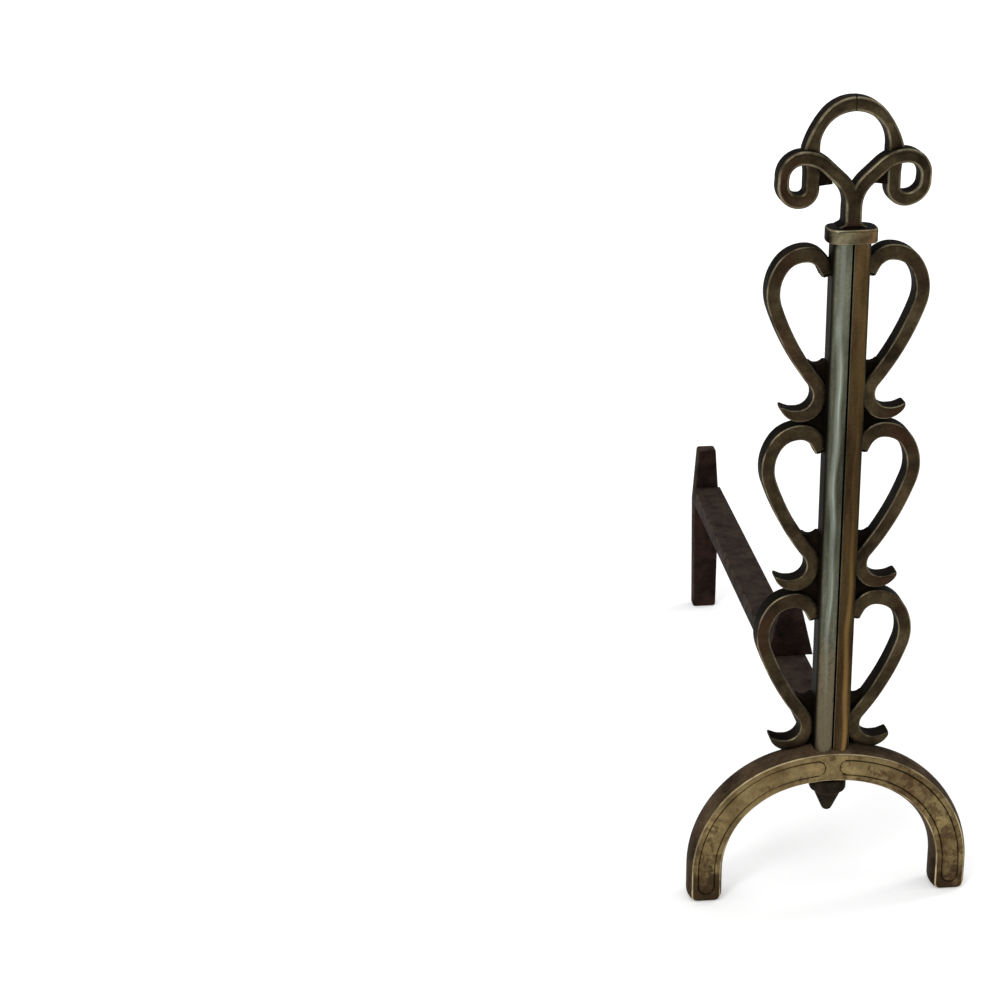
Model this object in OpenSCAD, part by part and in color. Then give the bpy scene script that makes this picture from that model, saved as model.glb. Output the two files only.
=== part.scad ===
// Andiron: a wrought front on an arched base, a reeded upright with three pairs of
// heart-shaped scrolls, a ram's-horn finial with a loop, and a log bar on a rear post.
// Millimetres, +Z up, the front faces -Y. The origin is the middle of the footprint.

/* [Arch base] */
// Width of the arch over the front edges of its feet.
arch_w = 190; // [186:1:210]
// Height of the arch's crown at its front edge.
arch_h = 108.5; // [105:0.5:109]
// Width of the arch's front band.
band_w = 20; // [18:0.5:21]
// Depth of the arch from front to back.
arch_depth = 21; // [20:0.5:24]
// How far the band's sides swell at half depth.
band_swell = 2; // [1:0.25:3]
// Height of the straight part of each foot.
foot_straight = 22; // [20:1:26]
// Rounding of the feet's bottom corners.
foot_round = 5; // [2:0.5:7]

/* [Incised lines] */
// Width of each incised line.
line_w = 1; // [0.6:0.1:1.6]
// Depth of each incised line.
line_cut = 0.7; // [0.3:0.1:1.2]
// Distance between the two lines of a loop, centre to centre.
line_gap = 11; // [8:0.5:13]
// Gap between the two loops at the crown.
loop_gap = 10; // [6:0.5:20]
// Height of the loops' lower ends above the floor.
line_foot = 6; // [4:0.5:12]

/* [Upright] */
// Width of the upright.
column_w = 24; // [22.5:0.25:25]
// Distance from the arch's front to the front of the upright's reeds.
column_front = 3; // [2:0.5:3.5]
// Depth of the upright.
column_depth = 20; // [19:0.5:22]
// Height of the upright's top above the floor.
column_top = 460; // [459:0.5:470]
// Rounding of the reeds' outer sides.
reed_round = 6; // [4:0.25:7]
// Depth of the valley between the reeds.
reed_swell = 1.8; // [1:0.1:3]
// Width of the line between the reeds.
reed_line_w = 0.9; // [0.5:0.1:1.5]
// Depth of that line below the valley between the reeds.
reed_line_cut = 3; // [1:0.25:4]

/* [Cap] */
// Width of the cap over the upright.
cap_w = 32.5; // [30:0.5:36]
// Depth of the cap.
cap_depth = 24; // [23:0.5:30]
// Distance from the arch's front to the cap's front.
cap_front = 1; // [0.5:0.25:2]
// Thickness of the cap.
cap_t = 9.2; // [8:0.2:12]
// Rounding of the cap's upright corners.
cap_round = 10.5; // [6:0.5:11]
// Rounding of the cap's top edges.
cap_edge = 1.5; // [1:0.25:3]

/* [Scrolls] */
// Width of a scroll's bar, seen from the front.
scroll_w = 9; // [8.5:0.1:9.5]
// Depth of a scroll's bar.
scroll_depth = 14; // [12:0.5:16]
// Distance from the arch's front to the scrolls' front.
scroll_front = 13; // [11.5:0.5:14]
// Distance from one pair of scrolls to the next.
scroll_pitch = 117.5; // [117:0.1:118.5]
// Height of the top scrolls' crown line above the floor.
scroll_crown_z = 452.2; // [451.7:0.1:453.5]
// Distance of a scroll's crown from the middle of the upright.
scroll_crown_x = 27.2; // [26.8:0.1:27.5]

/* [Finial] */
// Width of the finial's bars, seen from the front.
horn_w = 9.2; // [8:0.1:10]
// Depth of the finial's bars.
horn_depth = 14; // [12.5:0.5:15]
// Distance from the arch's front to the finial's front.
horn_front = 7; // [6:0.5:9]
// How far the horns' inner ends lie behind the arms.
horn_setback = 5; // [2:0.5:6]
// Depth of the stem at the cap.
stem_depth = 17.5; // [15:0.5:18]
// Height of the loop's top above the floor.
loop_top = 550; // [548:0.5:552]
// Outer radius of the loop at its top.
loop_r = 25.5; // [24.5:0.1:26.5]
// Radius inside the loop.
loop_in_r = 21.3; // [20.5:0.1:21.7]
// Width of the loop's bar at its top.
loop_w = 9.5; // [8.5:0.1:10.5]

/* [Log bar] */
// Width of the log bar.
bar_w = 25; // [20:0.5:30]
// Thickness of the log bar.
bar_t = 13; // [10:0.5:16]
// Height of the log bar's top above the floor.
bar_top = 115; // [114:0.5:118]
// Distance from the arch's front to the rear post.
bar_reach = 511; // [350:1:650]
// Distance from the arch's front to the log stop.
stop_reach = 147; // [80:1:200]
// Height of the log stop above the log bar.
stop_h = 45; // [25:1:60]
// Thickness of the log stop.
stop_t = 10; // [8:0.5:14]
// Width of the log stop's foot on the log bar.
stop_foot_w = 35; // [31:0.5:38]

/* [Rear post] */
// Height of the rear post.
post_h = 150.5; // [135:0.5:180]
// Thickness of the rear post.
post_t = 12; // [10:0.5:16]
// Width of the post's foot.
post_foot_w = 20.6; // [18:0.2:24]
// Width of the post at the log bar.
post_mid_w = 23; // [21:0.5:27]
// Width of the post's top.
post_top_w = 15.6; // [12:0.2:20]

/* [Tie rod and drop] */
// Diameter of the tie rod.
rod_d = 8; // [6:0.5:9]
// Distance from the arch's front to the tie rod's axis.
rod_y = 15; // [13:0.5:16]
// Radius of the round nut under the crown.
nut_r = 12.5; // [11:0.5:14]
// Height of the round nut's underside above the floor.
nut_bottom = 76.5; // [74:0.5:79]
// Largest radius of the drop-shaped nut.
drop_r = 9.7; // [8:0.1:11]
// Height of the drop's tip above the floor.
drop_tip = 59.5; // [55:0.5:64]

/* [Hidden] */
$fn = 64;

// How far cutters run on past the faces that they open.
past = 1;
// Clearance of the tie rod in the pieces that it only passes through.
rod_clear = 0.4;
// Height of a rivet's domed head.
rivet_head = 2.5;
// Overall depth, from the arch's front to the rivet head behind the post.
total_depth = bar_reach + post_t + rivet_head;

// Flat seat on the crown for the upright, and flat seat under it for the round nut.
top_flat = 1;
under_flat = 2.2;
seat_top = arch_h - top_flat;
seat_under = arch_h - band_w - under_flat;

// Colours of the bare metals.
brass_c = [0.47, 0.41, 0.28];
steel_c = [0.33, 0.33, 0.30];
iron_c = [0.18, 0.15, 0.13];
braze_c = [0.24, 0.20, 0.13];

// ---- helpers -------------------------------------------------------------------

// A point at radius r and angle a.
function polar(r, a) = [r * cos(a), r * sin(a)];

// Stands a flat outline up: its x runs along X, its y along Z, from y_front to the rear.
module stand(y_front, depth)
    translate([0, y_front + depth - total_depth / 2, 0]) rotate([90, 0, 0])
        linear_extrude(depth) children();

// Puts a solid that is drawn with Y = 0 at the arch's front into the part's frame.
module seat() translate([0, -total_depth / 2, 0]) children();

// A pie slice that reaches beyond radius r, from angle a0 to a1.
module wedge(r, a0, a1) {
    n = ceil(abs(a1 - a0) / 60);
    polygon(concat([[0, 0]], [for (k = [0 : n]) polar(2 * r, a0 + (a1 - a0) * k / n)]));
}

// A slice of a flat ring.
module ring_slice(r_in, r_out, a0, a1)
    intersection() {
        difference() {
            circle(r_out);
            circle(r_in);
        }
        wedge(r_out, a0, a1);
    }

// A ribbon of flat bar is a list of steps [radius, sweep]. Clockwise sweeps are positive,
// and a radius of 0 is a straight step of that length.
function side(s) = s[1] < 0 ? -1 : 1;
function turned(h, s) = s[0] == 0 ? h : h - s[1];
function centre(p, h, s) = p + s[0] * side(s) * [sin(h), -cos(h)];
function moved(p, h, s) = s[0] == 0 ? p + s[1] * [cos(h), sin(h)]
    : centre(p, h, s) - s[0] * side(s) * [sin(h - s[1]), -cos(h - s[1])];
function end_h(h, steps, i = 0) = i == len(steps) ? h : end_h(turned(h, steps[i]), steps, i + 1);
function end_p(p, h, steps, i = 0) = i == len(steps) ? p
    : end_p(moved(p, h, steps[i]), turned(h, steps[i]), steps, i + 1);

// Each step runs on a hair past its ends, so that the steps grow together.
lap = 0.05;

module ribbon_step(p, h, s, w)
    if (s[0] == 0)
        translate(p) rotate(h) translate([-lap, -w / 2]) square([s[1] + 2 * lap, w]);
    else {
        lap_a = side(s) * lap / s[0] * 180 / PI;
        translate(centre(p, h, s))
            ring_slice(s[0] - w / 2, s[0] + w / 2, h + 90 * side(s) + lap_a,
                       turned(h, s) + 90 * side(s) - lap_a);
    }

module ribbon(p, h, steps, w, i = 0)
    if (i < len(steps)) {
        ribbon_step(p, h, steps[i], w);
        ribbon(moved(p, h, steps[i]), turned(h, steps[i]), steps, w, i + 1);
    }

// ---- arch base -----------------------------------------------------------------

// The arch is drawn from three centres: one for the crown and one for each haunch.
crown_half_angle = 17.8;
centre_gap = (arch_w / 2 - arch_h + foot_straight) / (sin(crown_half_angle) + cos(crown_half_angle) - 1);
haunch_r = arch_w / 2 - centre_gap * sin(crown_half_angle);
haunch_x = arch_w / 2 - haunch_r;
crown_r = haunch_r + centre_gap;
crown_cz = arch_h - crown_r;
haunch_mid_r = haunch_r - band_w / 2;
crown_mid_r = crown_r - band_w / 2;
// Radius of the band's swollen sides.
swell_r = (pow(arch_depth / 2, 2) + pow(band_swell, 2)) / (2 * band_swell);

// Section across the band: flat front and back, swollen inner and outer sides.
module band_section()
    intersection() {
        translate([-band_w, 0]) square([2 * band_w, arch_depth]);
        both_ways() translate([swell_r - band_w / 2 - band_swell, arch_depth / 2]) circle(swell_r);
    }

// The overlap of a flat outline and its mirror image.
module both_ways()
    intersection() {
        children();
        mirror([1, 0]) children();
    }

// A stretch of the band around the point [x, z], from angle a0 to a1.
module band_arc(x, z, mid_r, a0, a1)
    translate([x, arch_depth, z]) rotate([90, 0, 0])
        rotate_extrude(angle = a1 - a0, start = a0) translate([mid_r, 0]) band_section();

// A foot's straight leg, with its bottom corners rounded.
module leg()
    intersection() {
        translate([arch_w / 2 - band_w / 2, 0, 0]) linear_extrude(foot_straight) band_section();
        translate([0, arch_depth, 0]) rotate([90, 0, 0]) linear_extrude(arch_depth) leg_front();
        translate([arch_w / 2 - band_w, 0, 0]) rotate([90, 0, 90])
            translate([0, 0, -band_swell]) linear_extrude(band_w + 2 * band_swell) leg_side();
    }

// Front outline of a leg, and its side outline with smaller corners.
module leg_front() on_its_top() soft_top(arch_w / 2 - band_w - band_swell, band_w + 2 * band_swell,
                                         foot_straight, foot_round);
module leg_side() on_its_top() soft_top(0, arch_depth, foot_straight, foot_round / 2);
module on_its_top() translate([0, foot_straight]) mirror([0, 1]) children();

// A box from x0 with width w and height h whose top corners have radius r.
module soft_top(x0, w, h, r) {
    translate([x0, 0]) square([w, h - r]);
    translate([x0 + r, 0]) square([w - 2 * r, h]);
    for (x = [x0 + r, x0 + w - r]) translate([x, h - r]) circle(r);
}

// Front outline of one incised loop, widened to half-width h about its middle line.
module loop_region(h) {
    end_x = loop_gap / 2 + line_gap / 2;
    end_a = acos(end_x / crown_mid_r);
    end_z = line_foot + line_gap / 2;
    lap_a = lap / crown_mid_r * 180 / PI;
    translate([0, crown_cz]) {
        ring_slice(crown_mid_r - h, crown_mid_r + h, 90 - crown_half_angle - lap_a, end_a);
        translate(polar(crown_mid_r, end_a)) circle(h);
    }
    translate([haunch_x, foot_straight])
        ring_slice(haunch_mid_r - h, haunch_mid_r + h, 0, 90 - crown_half_angle + lap_a);
    translate([arch_w / 2 - band_w / 2 - h, end_z]) square([2 * h, foot_straight + lap - end_z]);
    translate([arch_w / 2 - band_w / 2, end_z]) circle(h);
}

module incised_lines()
    for (m = [0, 1]) mirror([m, 0, 0])
        translate([0, line_cut, 0]) rotate([90, 0, 0]) linear_extrude(line_cut + past)
            difference() {
                loop_region(line_gap / 2 + line_w / 2);
                loop_region(line_gap / 2 - line_w / 2);
            }

module arch_base() color(brass_c) seat()
    difference() {
        union() {
            band_arc(0, crown_cz, crown_mid_r, 90 - crown_half_angle, 90 + crown_half_angle);
            for (m = [0, 1]) mirror([m, 0, 0]) {
                band_arc(haunch_x, foot_straight, haunch_mid_r, 0, 90 - crown_half_angle);
                leg();
            }
        }
        incised_lines();
        translate([0, 0, seat_top]) linear_extrude(band_w) upright_plan();
        translate([0, rod_y, seat_under - band_w]) cylinder(r = nut_r + rod_clear, h = band_w);
        translate([0, rod_y, seat_under - past]) cylinder(d = rod_d + rod_clear, h = 2 * band_w);
    }

// ---- upright and cap -------------------------------------------------------------

// A reed is highest where its rounded outer side begins, and falls to the valley.
reed_crest_x = column_w / 2 - reed_round;
reed_r = (pow(reed_crest_x, 2) + pow(reed_swell, 2)) / (2 * reed_swell);
// Tongue of the log bar in the upright's foot.
tongue_w = 14;
tongue_t = 6;
tongue_front = 12;
// How far the tie rod and the finial's tenon enter the upright.
rod_in = 28;
tenon_in = 16;
tenon_d = 9;
tenon_y = horn_front + stem_depth / 2;

// Outline of the upright from above, without the line between the reeds.
module upright_plan() translate([0, column_front]) {
    translate([-column_w / 2, reed_round]) square([column_w, column_depth - reed_round]);
    for (m = [0, 1]) mirror([m, 0]) {
        translate([reed_crest_x, reed_round]) circle(reed_round);
        intersection() {
            translate([reed_crest_x, reed_r]) circle(reed_r);
            square([reed_crest_x, reed_round + lap]);
        }
    }
}

module upright() color(steel_c) seat()
    difference() {
        translate([0, 0, seat_top]) linear_extrude(column_top - seat_top) upright_plan();
        translate([-reed_line_w / 2, 0, seat_top - past])
            cube([reed_line_w, column_front + reed_swell + reed_line_cut, column_top]);
        translate([-tongue_w / 2, tongue_front, seat_top])
            cube([tongue_w, column_depth, tongue_t]);
        translate([0, rod_y, seat_top - past]) cylinder(d = rod_d, h = rod_in + past);
        translate([0, tenon_y, column_top - tenon_in]) cylinder(d = tenon_d, h = tenon_in + past);
    }

module cap() color(brass_c) seat()
    difference() {
        intersection() {
            translate([0, cap_front, column_top]) linear_extrude(cap_t) cap_plan();
            translate([0, cap_front + cap_depth, column_top]) rotate([90, 0, 0])
                linear_extrude(cap_depth) soft_top(-cap_w / 2, cap_w, cap_t, cap_edge);
            translate([-cap_w / 2, cap_front, column_top]) rotate([90, 0, 90])
                linear_extrude(cap_w) soft_top(0, cap_depth, cap_t, cap_edge);
        }
        translate([0, tenon_y, column_top - past]) cylinder(d = tenon_d, h = cap_t + 2 * past);
    }

module cap_plan() {
    translate([-cap_w / 2 + cap_round, 0]) square([cap_w - 2 * cap_round, cap_depth]);
    translate([-cap_w / 2, cap_round]) square([cap_w, cap_depth - 2 * cap_round]);
    for (x = [-1, 1], y = [cap_round, cap_depth - cap_round])
        translate([x * (cap_w / 2 - cap_round), y]) circle(cap_round);
}

// ---- scrolls ---------------------------------------------------------------------

// A scroll is drawn for the right side, from its crown: down the flank and round the waist
// at the upright, and back around the curl to the cut end.
flank = [[18.4, 54], [30.2, 55.1], [168, 19.4]];
curl = [[12, -72], [0, 8]];
// Radius inside the waist, and the angle at which the waist passes into the tail.
waist_in_r = 9.5;
waist_out_r = waist_in_r + scroll_w;
tail_a = 225;
// Radii of the tail's underside and of its hollow top, and the tail's length.
tail_r = 15;
tail_top_r = 40;
tail_len = 11;
crown_p = [scroll_crown_x, scroll_crown_z];
waist_h = end_h(0, flank);
// A turn that ends at the angle tail_a around its centre has the heading tail_a - 270.
waist_step = [waist_in_r + scroll_w / 2, waist_h - (tail_a - 270)];
waist_c = centre(end_p(crown_p, 0, flank), waist_h, waist_step);

// The swept tail, from the angle tail_a to its blunt end.
module tail()
    difference() {
        intersection() {
            translate(waist_c + polar(waist_out_r - tail_r, tail_a)) circle(tail_r);
            translate(waist_c) wedge(waist_out_r, tail_a - lap, 360);
            translate([0, waist_c[1] - 2 * waist_out_r])
                square([waist_c[0] + tail_len, 2 * waist_out_r]);
        }
        translate(waist_c) circle(waist_in_r);
        intersection() {
            translate(waist_c + [0, tail_top_r - waist_in_r]) circle(tail_top_r);
            translate(waist_c - [0, waist_out_r]) square(2 * waist_out_r);
        }
    }

// A scroll's front outline, cut off flat where it lies against the upright.
module scroll_outline()
    intersection() {
        union() {
            ribbon(crown_p, 0, concat(flank, [waist_step]), scroll_w);
            ribbon(crown_p, 180, curl, scroll_w);
            tail();
        }
        translate([column_w / 2, 0]) square([column_top, column_top]);
    }

// The arch's crown line in front of the lowest scrolls, which are cut to sit on it.
module arch_line() translate([0, crown_cz]) circle(crown_r + band_swell);

// Scroll n of a side, counted from the top; m = 1 mirrors it to the left.
module scroll(m, n) color(steel_c) mirror([m, 0, 0])
    stand(scroll_front, scroll_depth) difference() {
        translate([0, -(n - 1) * scroll_pitch]) scroll_outline();
        if (n == 3) arch_line();
    }

// Braze in the corners between the scrolls and the upright, set back from the front.
braze_front = scroll_front + 4;
braze_depth = 8;
// Rounded top of the braze above a waist: its radius, and its centre below the crown.
braze_r = 5.5;
braze_drop = 69.8;
// The braze above a waist starts this far above the waist's centre.
braze_rise = 2;
// How far the braze at a waist reaches out from the upright.
braze_reach = 8;

module braze_above() {
    top_z = scroll_crown_z - braze_drop;
    foot_z = waist_c[1] + braze_rise;
    difference() {
        translate([column_w / 2, 0])
            polygon([[0, foot_z], [braze_reach, foot_z], [2 * braze_r, top_z], [0, top_z]]);
        scroll_outline();
        translate([column_w / 2 + braze_r, top_z]) circle(braze_r);
    }
}

module braze_below() difference() {
    translate([column_w / 2, scroll_crown_z - scroll_pitch - scroll_w / 2])
        square([braze_reach, waist_out_r]);
    scroll_outline();
    translate([0, -scroll_pitch]) scroll_outline();
}

module braze(m) color(braze_c) mirror([m, 0, 0]) {
    horn_braze();
    for (n = [1 : 3]) stand(braze_front, braze_depth) translate([0, -(n - 1) * scroll_pitch]) {
        braze_above();
        difference() {
            braze_below();
            if (n == 3) translate([0, 2 * scroll_pitch]) arch_line();
        }
    }
}

// ---- finial ----------------------------------------------------------------------

cap_top = column_top + cap_t;
stem_half_w = 5.4;
stem_p = [stem_half_w - horn_w / 2, cap_top];
// The bar rises from the stem, leans out, and curls down round the horn's eye. It then
// rises behind itself, and goes on as the loop's leg.
arm = [[0, 12.6], [24, 47], [0, 12], [22, 43], [12.4, 90], [0, 4.2]];
horn_bottom = [11.5, 90];
horn_end = [[7.6, 90], [0, 9.6]];
horn_p = end_p(stem_p, 90, arm);
horn_h = end_h(90, arm);
end_top = end_p(horn_p, horn_h, concat([horn_bottom], horn_end));
end_y = horn_front + horn_setback;
stem_fillet = 4;
// Heights above the cap between which the deeper stem thins out behind.
stem_thin = [8, 26];

// Right half of the finial's front outline, down to the horn's bottom.
module arm_outline() {
    ribbon(stem_p, 90, concat(arm, [horn_bottom]), horn_w);
    translate([stem_half_w - lap, cap_top]) difference() {
        square(stem_fillet);
        translate([stem_fillet, stem_fillet]) circle(stem_fillet);
    }
}

// The arms' outline from the side: the stem is deeper than the arms.
module arm_side()
    translate([horn_front, cap_top])
        polygon([[0, 0], [stem_depth, 0], [stem_depth, stem_thin[0]], [horn_depth, stem_thin[1]],
                 [horn_depth, loop_top - cap_top], [0, loop_top - cap_top]]);

module arms()
    intersection() {
        stand(horn_front, stem_depth) arm_outline();
        seat() rotate([90, 0, 90]) linear_extrude(arch_w) arm_side();
    }

// The horn's bottom again, and its inner end, which lies further back.
module horn_end_outline() ribbon(horn_p, horn_h, concat([horn_bottom], horn_end), horn_w);

// The loop's outer edge is a small arc at the top and a wide one down each side.
loop_top_a = 50;
loop_side_r = 60;
loop_side_a = 25;
loop_c = [0, loop_top - loop_r];
loop_side_c = loop_c - polar(loop_side_r - loop_r, 90 - loop_top_a);
loop_in_c = [0, loop_top - loop_w - loop_in_r];
loop_side_p = loop_side_c + polar(loop_side_r, 90 - loop_top_a - loop_side_a);

// Half of the loop, with its leg down into the horn's inner end.
module loop_outline() difference() {
    intersection() {
        union() {
            translate(loop_c) slice(loop_r, 90 - loop_top_a - lap, 90 + lap);
            translate(loop_side_c)
                slice(loop_side_r, 90 - loop_top_a - loop_side_a, 90 - loop_top_a);
            polygon([[0, end_top[1] - horn_w / 2], end_top + [horn_w / 2, -horn_w / 2],
                     loop_side_p, [0, loop_side_p[1]]]);
        }
        square([arch_w, loop_top + past]);
    }
    translate(loop_in_c) circle(loop_in_r);
    square([loop_in_r, loop_in_c[1]]);
}

// A slice of a disc.
module slice(r, a0, a1) intersection() {
    circle(r);
    wedge(r, a0, a1);
}

module finial(m) color(steel_c) mirror([m, 0, 0])
    intersection() {
        union() {
            arms();
            stand(end_y, horn_depth) {
                horn_end_outline();
                loop_outline();
            }
            seat() translate([0, tenon_y, column_top - tenon_in])
                cylinder(d = tenon_d, h = tenon_in + cap_t + past);
        }
        translate([0, -total_depth, 0]) cube([arch_w, 2 * total_depth, 2 * loop_top]);
    }

// Braze in the corner under the arm, beside the horn's inner end.
horn_braze_w = 5;
horn_braze_h = 7.5;
horn_braze_drop = 5.5;
horn_braze_depth = 7;

module horn_braze()
    stand(end_y + past, horn_braze_depth) difference() {
        translate(end_top - [horn_w / 2 + horn_braze_w, horn_braze_drop])
            square([horn_braze_w + past, horn_braze_h]);
        arm_outline();
        horn_end_outline();
    }

// ---- log bar, log stop and rear post -----------------------------------------------

bar_front = column_front + column_depth;
bar_tenon_d = 10;
rivet_r = 7.5;
stop_tenon_d = 8;
stop_top_w = 17;

// A rivet's domed head on the plane Y = 0, towards +Y.
module rivet_dome() {
    dome_r = (rivet_r * rivet_r + rivet_head * rivet_head) / (2 * rivet_head);
    intersection() {
        translate([0, rivet_head - dome_r, 0]) sphere(dome_r);
        rotate([-90, 0, 0]) cylinder(r = rivet_r + past, h = rivet_head);
    }
}

module log_bar() color(iron_c) seat()
    difference() {
        union() {
            translate([-bar_w / 2, bar_front, bar_top - bar_t])
                cube([bar_w, bar_reach - bar_front, bar_t]);
            translate([-tongue_w / 2, tongue_front, seat_top])
                cube([tongue_w, bar_front - tongue_front + past, tongue_t]);
            translate([0, bar_reach - past, bar_top - bar_t / 2]) rotate([-90, 0, 0])
                cylinder(d = bar_tenon_d, h = post_t + past);
            translate([0, bar_reach + post_t, bar_top - bar_t / 2]) rivet_dome();
        }
        translate([0, rod_y, seat_top - past]) cylinder(d = rod_d + rod_clear, h = bar_t);
        translate([0, stop_reach + stop_t / 2, bar_top - bar_t - past])
            cylinder(d = stop_tenon_d, h = bar_t + 2 * past);
    }

module log_stop() color(iron_c) {
    stand(stop_reach, stop_t) translate([0, bar_top]) stop_outline();
    seat() translate([0, stop_reach + stop_t / 2, bar_top - bar_t])
        cylinder(d = stop_tenon_d, h = bar_t + past);
}

// The stop's front outline: wider than the bar at its foot, narrower at its round top.
module stop_outline() {
    polygon([[-stop_foot_w / 2, 0], [stop_foot_w / 2, 0],
             [stop_top_w / 2, stop_h - stop_top_w / 2],
             [-stop_top_w / 2, stop_h - stop_top_w / 2]]);
    translate([0, stop_h - stop_top_w / 2]) circle(stop_top_w / 2);
}

post_corner = 2.5;

// The post's front outline, with rounded corners at the foot and the top.
module post_outline() {
    shoulder_z = bar_top - bar_t;
    polygon([[-post_foot_w / 2, post_corner], [-post_foot_w / 2 + post_corner, 0],
             [post_foot_w / 2 - post_corner, 0], [post_foot_w / 2, post_corner],
             [post_mid_w / 2, shoulder_z], [post_top_w / 2, post_h - post_corner],
             [post_top_w / 2 - post_corner, post_h], [-post_top_w / 2 + post_corner, post_h],
             [-post_top_w / 2, post_h - post_corner], [-post_mid_w / 2, shoulder_z]]);
    for (x = [-1, 1]) {
        translate([x * (post_foot_w / 2 - post_corner), post_corner]) circle(post_corner);
        translate([x * (post_top_w / 2 - post_corner), post_h - post_corner]) circle(post_corner);
    }
}

module rear_post() color(iron_c)
    difference() {
        stand(bar_reach, post_t) post_outline();
        seat() translate([0, bar_reach - past, bar_top - bar_t / 2]) rotate([-90, 0, 0])
            cylinder(d = bar_tenon_d, h = post_t + 2 * past);
    }

// ---- tie rod and its nuts ----------------------------------------------------------

rod_bottom = drop_tip + 7;
drop_tip_r = 4;
drop_neck = 1.5;
nut_chamfer = 1.2;

module tie_rod() color(steel_c) seat()
    translate([0, rod_y, rod_bottom]) cylinder(d = rod_d, h = seat_top + rod_in - rod_bottom);

module round_nut() color(steel_c) seat() translate([0, rod_y, nut_bottom])
    difference() {
        rotate_extrude() polygon([[0, 0], [nut_r - nut_chamfer, 0], [nut_r, nut_chamfer],
                                  [nut_r, seat_under - nut_bottom], [0, seat_under - nut_bottom]]);
        translate([0, 0, -past]) cylinder(d = rod_d + rod_clear, h = band_w);
    }

// A drop that hangs from the round nut: a cone with a rounded tip and a short neck.
module drop_nut() color(steel_c) seat() translate([0, rod_y, drop_tip]) {
    drop_h = nut_bottom - drop_tip;
    to_rim = [drop_r, drop_h - drop_neck - drop_tip_r];
    tip_a = atan2(to_rim[1], to_rim[0]) - acos(drop_tip_r / norm(to_rim));
    difference() {
        rotate_extrude() {
            polygon([[0, drop_tip_r], polar(drop_tip_r, tip_a) + [0, drop_tip_r],
                     [drop_r, drop_h - drop_neck], [drop_r, drop_h], [0, drop_h]]);
            translate([0, drop_tip_r]) intersection() {
                circle(drop_tip_r);
                translate([0, -drop_tip_r]) square(2 * drop_tip_r);
            }
        }
        translate([0, 0, rod_bottom - drop_tip]) cylinder(d = rod_d, h = drop_h);
    }
}

// ---- drawing -----------------------------------------------------------------------

module scroll_left_1() scroll(1, 1);
module scroll_left_2() scroll(1, 2);
module scroll_left_3() scroll(1, 3);
module scroll_right_1() scroll(0, 1);
module scroll_right_2() scroll(0, 2);
module scroll_right_3() scroll(0, 3);
module braze_left() braze(1);
module braze_right() braze(0);
module finial_left() finial(1);
module finial_right() finial(0);

arch_base();
upright();
cap();
scroll_left_1();
scroll_left_2();
scroll_left_3();
scroll_right_1();
scroll_right_2();
scroll_right_3();
braze_left();
braze_right();
finial_left();
finial_right();
log_bar();
log_stop();
rear_post();
tie_rod();
round_nut();
drop_nut();
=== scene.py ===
import math

import bmesh
import bpy
import numpy as np
from mathutils import Matrix, Vector


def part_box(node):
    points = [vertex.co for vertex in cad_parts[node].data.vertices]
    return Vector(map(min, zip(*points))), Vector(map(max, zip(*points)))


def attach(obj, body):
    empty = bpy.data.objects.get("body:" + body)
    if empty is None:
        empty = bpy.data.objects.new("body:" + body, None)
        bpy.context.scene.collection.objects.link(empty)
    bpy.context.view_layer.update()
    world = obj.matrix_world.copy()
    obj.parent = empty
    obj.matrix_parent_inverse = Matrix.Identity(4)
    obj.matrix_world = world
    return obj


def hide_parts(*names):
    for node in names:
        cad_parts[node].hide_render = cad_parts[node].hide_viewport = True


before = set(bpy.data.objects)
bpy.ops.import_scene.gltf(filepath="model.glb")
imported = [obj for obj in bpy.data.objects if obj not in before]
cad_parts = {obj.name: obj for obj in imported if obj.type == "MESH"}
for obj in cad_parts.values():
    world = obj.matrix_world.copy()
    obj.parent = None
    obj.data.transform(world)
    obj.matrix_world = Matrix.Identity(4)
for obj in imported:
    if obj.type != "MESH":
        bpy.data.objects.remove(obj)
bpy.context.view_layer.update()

# Lengths are in millimetres and are turned into metres when a mesh is made.
MM = 0.001
# Depths are measured from the arch's front face, heights from the floor.
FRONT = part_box("arch_base")[0].y / MM

# ---- sizes ---------------------------------------------------------------------

# Arch: half its width, its height, and the band it is bent from, whose sides bulge. The
# feet are straight and have round corners, and the crown is an arc of its own.
ARCH_HALF = 95.0
ARCH_TOP = 108.5
BAND_W = 20.0
ARCH_DEPTH = 21.0
BAND_SWELL = 2.0
ARCH_EDGE = 1.4
FOOT_STRAIGHT = 22.0
FOOT_ROUND = 5.0
CROWN_HALF_ANGLE = 17.8
# The incised loops: width and depth of their line, their width, the gap between the two
# at the crown, and how far above its foot a loop ends.
LINE_W = 1.0
LINE_CUT = 0.7
LINE_GAP = 11.0
LOOP_GAP = 10.0
LINE_FOOT = 6.0
# Where the side of an incised line ends, in half-widths of the line.
LINE_SPREAD = 1.1

# Upright and cap. Each reed has a tight round outside and a gentle one towards the line
# between the two, whose spread is as LINE_SPREAD.
COLUMN_W = 24.0
COLUMN_FRONT = 3.0
COLUMN_DEPTH = 20.0
COLUMN_FOOT = ARCH_TOP - 1.0
COLUMN_TOP = 460.0
COLUMN_REAR_ROUND = 2.2
REED_ROUND = 6.0
REED_SWELL = 1.8
REED_LINE_W = 0.9
REED_LINE_CUT = 3.0
REED_LINE_SPREAD = 1.4
CAP_W = 32.5
CAP_DEPTH = 24.0
CAP_FRONT = 1.0
CAP_T = 9.2
CAP_ROUND = 10.5
CAP_EDGE = 1.5

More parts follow.
